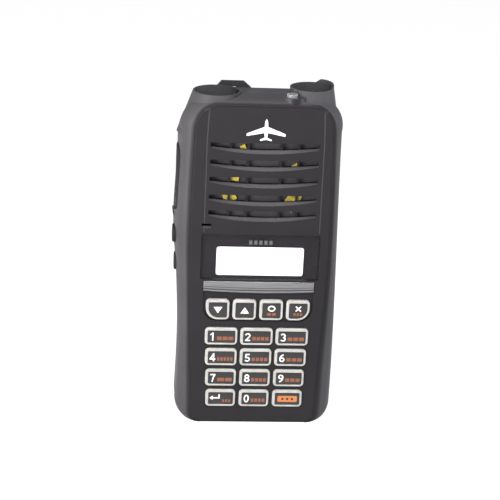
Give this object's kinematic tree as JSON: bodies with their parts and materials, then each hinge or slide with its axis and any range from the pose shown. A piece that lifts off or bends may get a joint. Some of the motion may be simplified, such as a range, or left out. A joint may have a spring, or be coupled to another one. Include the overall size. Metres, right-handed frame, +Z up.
{
  "type": "handheld aviation radio",
  "caption": "Handheld airband radio with a louvred speaker grille, display window, raised-rim keypad, side keys, open antenna and knob wells, and a lift-off battery.",
  "frame": {"origin": "middle of the base, on the face it stands on, half the body's depth behind the front panel", "axes": "+Z up, the front faces -Y, +X to the right as seen from the front"},
  "size_m": [0.0552, 0.0306, 0.1156],
  "materials": {
    "case_black": "fine moulded texture",
    "bar_satin": "satin, brushed along its length",
    "window_clear": "clear, gloss",
    "window_black": "printed black border",
    "lcd_white": "blank, evenly lit",
    "inner_black": "moulded",
    "steel_dark": "black plated",
    "cone_black": "treated paper, woven cloth",
    "tape_yellow": "adhesive foam",
    "brass_plated": "gold plated",
    "rubber_black": "matt",
    "steel_bright": "zinc plated",
    "board_green": "solder mask",
    "socket_nickel": "nickel plated",
    "insulator_white": "turned polymer",
    "shaft_aluminium": "turned",
    "lamp_clear": "frosted light guide",
    "chassis_black": "die-cast, black paint",
    "seal_rubber": "silicone",
    "battery_black": "fine moulded texture",
    "cell_wrap": "shrink wrap",
    "latch_grey": "moulded, ribbed",
    "key_ivory": "translucent rim round a dark sunk pad"
  },
  "bodies": {
    "radio": {"front_case": "case_black", "trim_bar": "bar_satin", "window_lens": "window_clear", "window_mask": "window_black", "lcd_panel": "lcd_white", "backlight": "lcd_white", "lcd_holder": "inner_black", "speaker_basket": "steel_dark", "speaker_cone": "cone_black", "speaker_magnet": "steel_dark", "speaker_tape": "tape_yellow", "speaker_net": "cone_black", "microphone": "inner_black", "microphone_boot": "rubber_black", "keypad_mat": "rubber_black", "key_domes": "steel_bright", "front_board": "board_green", "main_board": "board_green", "board_fixings": "steel_bright", "board_connector": "inner_black", "rf_shield": "steel_bright", "antenna_socket": "socket_nickel", "antenna_insulator": "insulator_white", "antenna_contact": "brass_plated", "control_nuts": "socket_nickel", "volume_control": "steel_dark", "status_light_guide": "lamp_clear", "side_switches": "inner_black", "jack_cover_pin": "steel_bright", "jack_block": "inner_black", "chassis": "chassis_black", "case_seal": "seal_rubber", "case_screws": "steel_bright", "battery_pins": "brass_plated"},
    "ptt": {"ptt_key": "rubber_black"},
    "side_key_upper_body": {"side_key_upper": "rubber_black"},
    "side_key_lower_body": {"side_key_lower": "rubber_black"},
    "volume": {"volume_shaft": "shaft_aluminium"},
    "jack_flap": {"jack_cover": "case_black"},
    "latch": {"battery_latch": "latch_grey"},
    "battery": {"battery_case": "battery_black", "battery_plate": "battery_black", "battery_cells": "cell_wrap", "battery_board": "board_green"},
    "key_down_body": {"key_down": "key_ivory"},
    "key_up_body": {"key_up": "key_ivory"},
    "key_memory_body": {"key_memory": "key_ivory"},
    "key_clear_body": {"key_clear": "key_ivory"},
    "key_1_body": {"key_1": "key_ivory"},
    "key_2_body": {"key_2": "key_ivory"},
    "key_3_body": {"key_3": "key_ivory"},
    "key_4_body": {"key_4": "key_ivory"},
    "key_5_body": {"key_5": "key_ivory"},
    "key_6_body": {"key_6": "key_ivory"},
    "key_7_body": {"key_7": "key_ivory"},
    "key_8_body": {"key_8": "key_ivory"},
    "key_9_body": {"key_9": "key_ivory"},
    "key_enter_body": {"key_enter": "key_ivory"},
    "key_0_body": {"key_0": "key_ivory"},
    "key_function_body": {"key_function": "key_ivory"}
  },
  "joints": [
    {"name": "key_down_press", "type": "slide", "parent": "radio", "child": "key_down_body", "axis": [0, 1, 0], "range_m": [0, 0.0007], "stiffness_N_per_m": 1000, "springref_m": -0.0007},
    {"name": "key_up_press", "type": "slide", "parent": "radio", "child": "key_up_body", "axis": [0, 1, 0], "range_m": [0, 0.0007], "stiffness_N_per_m": 1000, "springref_m": -0.0007},
    {"name": "key_memory_press", "type": "slide", "parent": "radio", "child": "key_memory_body", "axis": [0, 1, 0], "range_m": [0, 0.0007], "stiffness_N_per_m": 1000, "springref_m": -0.0007},
    {"name": "key_clear_press", "type": "slide", "parent": "radio", "child": "key_clear_body", "axis": [0, 1, 0], "range_m": [0, 0.0007], "stiffness_N_per_m": 1000, "springref_m": -0.0007},
    {"name": "key_1_press", "type": "slide", "parent": "radio", "child": "key_1_body", "axis": [0, 1, 0], "range_m": [0, 0.0007], "stiffness_N_per_m": 1000, "springref_m": -0.0007},
    {"name": "key_2_press", "type": "slide", "parent": "radio", "child": "key_2_body", "axis": [0, 1, 0], "range_m": [0, 0.0007], "stiffness_N_per_m": 1000, "springref_m": -0.0007},
    {"name": "key_3_press", "type": "slide", "parent": "radio", "child": "key_3_body", "axis": [0, 1, 0], "range_m": [0, 0.0007], "stiffness_N_per_m": 1000, "springref_m": -0.0007},
    {"name": "key_4_press", "type": "slide", "parent": "radio", "child": "key_4_body", "axis": [0, 1, 0], "range_m": [0, 0.0007], "stiffness_N_per_m": 1000, "springref_m": -0.0007},
    {"name": "key_5_press", "type": "slide", "parent": "radio", "child": "key_5_body", "axis": [0, 1, 0], "range_m": [0, 0.0007], "stiffness_N_per_m": 1000, "springref_m": -0.0007},
    {"name": "key_6_press", "type": "slide", "parent": "radio", "child": "key_6_body", "axis": [0, 1, 0], "range_m": [0, 0.0007], "stiffness_N_per_m": 1000, "springref_m": -0.0007},
    {"name": "key_7_press", "type": "slide", "parent": "radio", "child": "key_7_body", "axis": [0, 1, 0], "range_m": [0, 0.0007], "stiffness_N_per_m": 1000, "springref_m": -0.0007},
    {"name": "key_8_press", "type": "slide", "parent": "radio", "child": "key_8_body", "axis": [0, 1, 0], "range_m": [0, 0.0007], "stiffness_N_per_m": 1000, "springref_m": -0.0007},
    {"name": "key_9_press", "type": "slide", "parent": "radio", "child": "key_9_body", "axis": [0, 1, 0], "range_m": [0, 0.0007], "stiffness_N_per_m": 1000, "springref_m": -0.0007},
    {"name": "key_enter_press", "type": "slide", "parent": "radio", "child": "key_enter_body", "axis": [0, 1, 0], "range_m": [0, 0.0007], "stiffness_N_per_m": 1000, "springref_m": -0.0007},
    {"name": "key_0_press", "type": "slide", "parent": "radio", "child": "key_0_body", "axis": [0, 1, 0], "range_m": [0, 0.0007], "stiffness_N_per_m": 1000, "springref_m": -0.0007},
    {"name": "key_function_press", "type": "slide", "parent": "radio", "child": "key_function_body", "axis": [0, 1, 0], "range_m": [0, 0.0007], "stiffness_N_per_m": 1000, "springref_m": -0.0007},
    {"name": "ptt_press", "type": "slide", "parent": "radio", "child": "ptt", "axis": [1, 0, 0], "range_m": [0, 0.0008], "stiffness_N_per_m": 2000, "springref_m": -0.0008},
    {"name": "side_key_upper_press", "type": "slide", "parent": "radio", "child": "side_key_upper_body", "axis": [1, 0, 0], "range_m": [0, 0.0008], "stiffness_N_per_m": 1500, "springref_m": -0.0008},
    {"name": "side_key_lower_press", "type": "slide", "parent": "radio", "child": "side_key_lower_body", "axis": [1, 0, 0], "range_m": [0, 0.0008], "stiffness_N_per_m": 1500, "springref_m": -0.0008},
    {"name": "volume_turn", "type": "hinge", "parent": "radio", "child": "volume", "pos_m": [0.0149, -0.006, 0.105], "axis": [0, 0, -1], "range_deg": [0, 280]},
    {"name": "jack_cover_swing", "type": "hinge", "parent": "radio", "child": "jack_flap", "pos_m": [0.02475, -0.0007, 0.08075], "axis": [0, 0, 1], "range_deg": [0, 100]},
    {"name": "battery_lift_off", "type": "slide", "parent": "radio", "child": "battery", "axis": [0, 1, 0], "range_m": [0, 0.025]},
    {"name": "latch_pull", "type": "slide", "parent": "battery", "child": "latch", "axis": [0, 1, 0], "range_m": [0, 0.001], "stiffness_N_per_m": 1500, "springref_m": -0.001}
  ]
}
